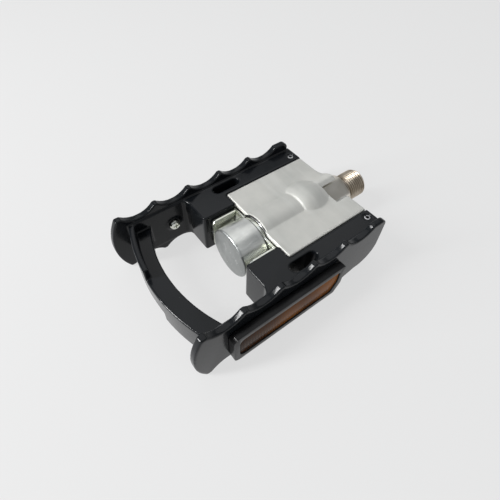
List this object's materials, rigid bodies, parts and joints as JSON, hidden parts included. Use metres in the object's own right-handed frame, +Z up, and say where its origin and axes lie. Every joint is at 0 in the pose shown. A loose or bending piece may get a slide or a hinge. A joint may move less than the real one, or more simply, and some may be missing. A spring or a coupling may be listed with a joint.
{
  "type": "folding flat pedal",
  "caption": "Flat bicycle pedal with a cast hub on a threaded spindle and a toothed black cage that folds on transverse hinge pins, with side reflectors and a sprung lock.",
  "frame": {"origin": "centre of the pedal's bounding box, on the spindle's axis; the cage's hinge line crosses that axis 36.55 mm along +X", "axes": "+X along the spindle towards the crank, +Y towards the rear side wall of the cage, +Z up through the treads"},
  "size_m": [0.1208, 0.0764, 0.0306],
  "materials": {
    "hub_aluminium": "satin cast aluminium, light warm grey",
    "cap_aluminium": "turned aluminium with a scuffed end face",
    "cage_black": "glossy black paint on cast aluminium",
    "spindle_steel": "turned steel with a brownish plated tone",
    "bearing_steel": "hardened and ground bearing steel",
    "spring_steel": "bright spring steel",
    "zinc": "zinc-plated steel with a slight yellow-green tint",
    "bronze": "sintered bronze bush",
    "nylon": "white nylon",
    "rubber": "black nitrile rubber",
    "housing_plastic": "black moulded plastic",
    "amber_lens": "moulded amber reflector lens"
  },
  "bodies": {
    "spindle": {"spindle": "spindle_steel", "outer_cone": "bearing_steel", "tab_washer": "zinc", "lock_nut": "zinc"},
    "inner_balls": {"inner_ball_01": "bearing_steel", "inner_ball_02": "bearing_steel", "inner_ball_03": "bearing_steel", "inner_ball_04": "bearing_steel", "inner_ball_05": "bearing_steel", "inner_ball_06": "bearing_steel", "inner_ball_07": "bearing_steel", "inner_ball_08": "bearing_steel", "inner_ball_09": "bearing_steel", "inner_ball_10": "bearing_steel", "inner_ball_11": "bearing_steel", "inner_ball_12": "bearing_steel"},
    "outer_balls": {"outer_ball_01": "bearing_steel", "outer_ball_02": "bearing_steel", "outer_ball_03": "bearing_steel", "outer_ball_04": "bearing_steel", "outer_ball_05": "bearing_steel", "outer_ball_06": "bearing_steel", "outer_ball_07": "bearing_steel", "outer_ball_08": "bearing_steel", "outer_ball_09": "bearing_steel", "outer_ball_10": "bearing_steel"},
    "hub": {"hub_body": "hub_aluminium", "inner_cup": "bearing_steel", "outer_cup": "bearing_steel", "inner_seal": "rubber", "dust_cap": "cap_aluminium", "hinge_bush_front": "bronze", "hinge_bush_rear": "bronze", "lock_spring": "spring_steel"},
    "lock_slider": {"lock_slider": "zinc"},
    "cage": {"cage": "cage_black", "hinge_pin_front": "bearing_steel", "roll_pin_front": "spring_steel", "thrust_washer_front": "nylon", "reflector_housing_front": "housing_plastic", "reflector_lens_front": "amber_lens", "reflector_screw_front_outer": "zinc", "reflector_screw_front_inner": "zinc", "hinge_pin_rear": "bearing_steel", "roll_pin_rear": "spring_steel", "thrust_washer_rear": "nylon", "reflector_housing_rear": "housing_plastic", "reflector_lens_rear": "amber_lens", "reflector_screw_rear_outer": "zinc", "reflector_screw_rear_inner": "zinc"}
  },
  "joints": [
    {"name": "hub_spin", "type": "hinge", "parent": "spindle", "child": "hub", "pos_m": [0.03655, 0, 0], "axis": [1, 0, 0], "continuous": true},
    {"name": "inner_balls_roll", "type": "hinge", "parent": "spindle", "child": "inner_balls", "pos_m": [0.02705, 0, 0], "axis": [1, 0, 0], "continuous": true},
    {"name": "outer_balls_roll", "type": "hinge", "parent": "spindle", "child": "outer_balls", "pos_m": [-0.00845, 0, 0], "axis": [1, 0, 0], "continuous": true},
    {"name": "cage_fold", "type": "hinge", "parent": "hub", "child": "cage", "pos_m": [0.03655, 0, 0], "axis": [0, 1, 0], "range_deg": [0, 90]},
    {"name": "lock_slide", "type": "slide", "parent": "hub", "child": "lock_slider", "axis": [1, 0, 0], "range_m": [0, 0.004], "stiffness_N_per_m": 800, "springref_m": -0.002, "deforming": ["lock_spring"]}
  ],
  "couplings": [
    {"joint": "inner_balls_roll", "follows": "hub_spin", "ratio": 0.591},
    {"joint": "outer_balls_roll", "follows": "hub_spin", "ratio": 0.614}
  ]
}
